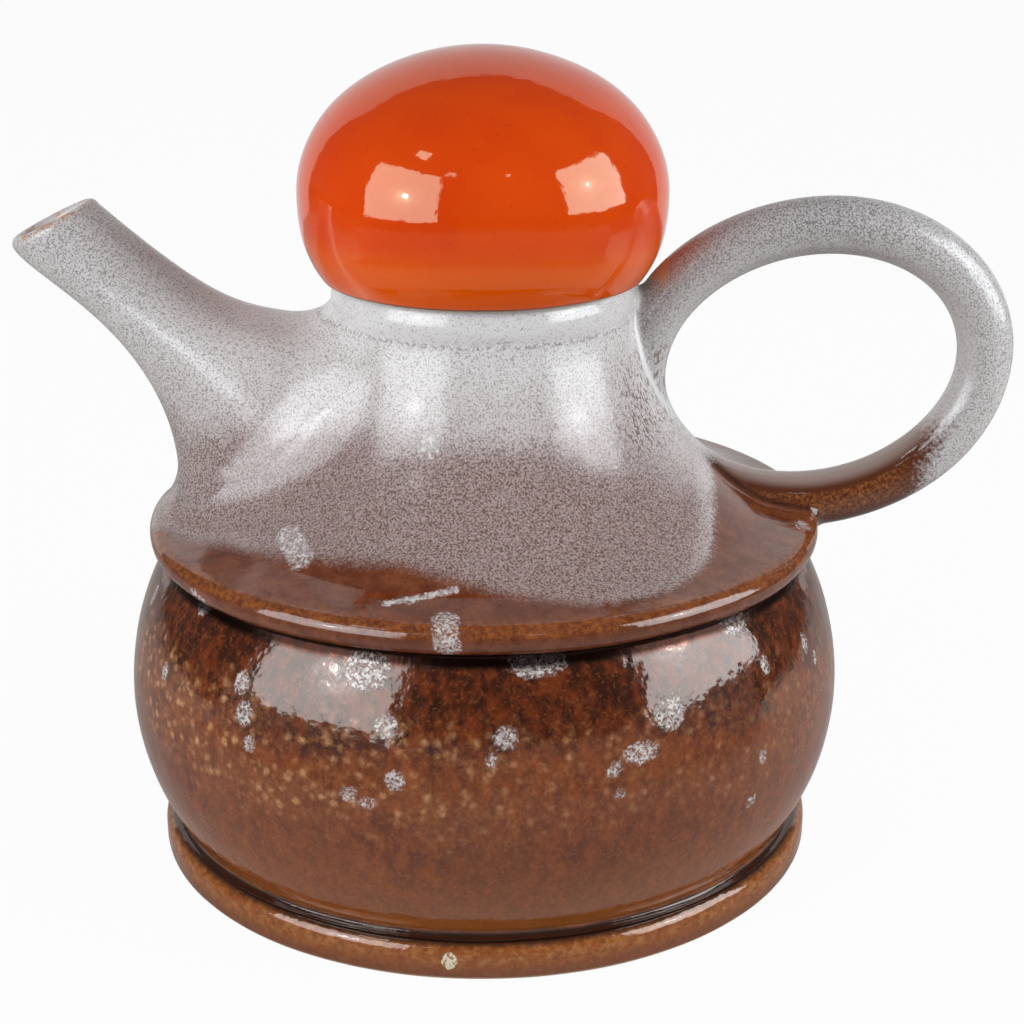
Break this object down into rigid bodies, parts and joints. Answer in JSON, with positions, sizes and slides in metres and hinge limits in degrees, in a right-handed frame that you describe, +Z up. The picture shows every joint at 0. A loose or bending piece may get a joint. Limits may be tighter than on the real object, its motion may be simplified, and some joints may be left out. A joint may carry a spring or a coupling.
{
  "type": "coffee pot",
  "caption": "Glazed pottery coffee pot with a wide belly, bell-shaped shoulder, rising spout, oval ring handle and a lift-off ball lid.",
  "frame": {"origin": "centre of the foot's flat underside, on the pot's axis", "axes": "+Z up along the pot's axis, the spout along -X and the handle along +X"},
  "size_m": [0.2176, 0.16, 0.1783],
  "materials": {
    "brown_glaze": "glossy, mottled brown with cream blotches",
    "speckled_glaze": "glossy off-white with fine dark specks",
    "orange_glaze": "glossy plain orange",
    "bare_clay": "matt unglazed"
  },
  "bodies": {
    "pot": {"foot_ring": "brown_glaze", "base": "bare_clay", "belly": "brown_glaze", "collar": "brown_glaze", "shoulder": "speckled_glaze", "neck_ring": "speckled_glaze", "spout": "speckled_glaze", "handle": "speckled_glaze"},
    "lid": {"lid_ball": "orange_glaze", "lid_seat_ring": "bare_clay", "lid_flange": "bare_clay"}
  },
  "joints": [
    {"name": "lid_lift", "type": "slide", "parent": "pot", "child": "lid", "axis": [0, 0, 1], "range_m": [0, 0.06]}
  ]
}
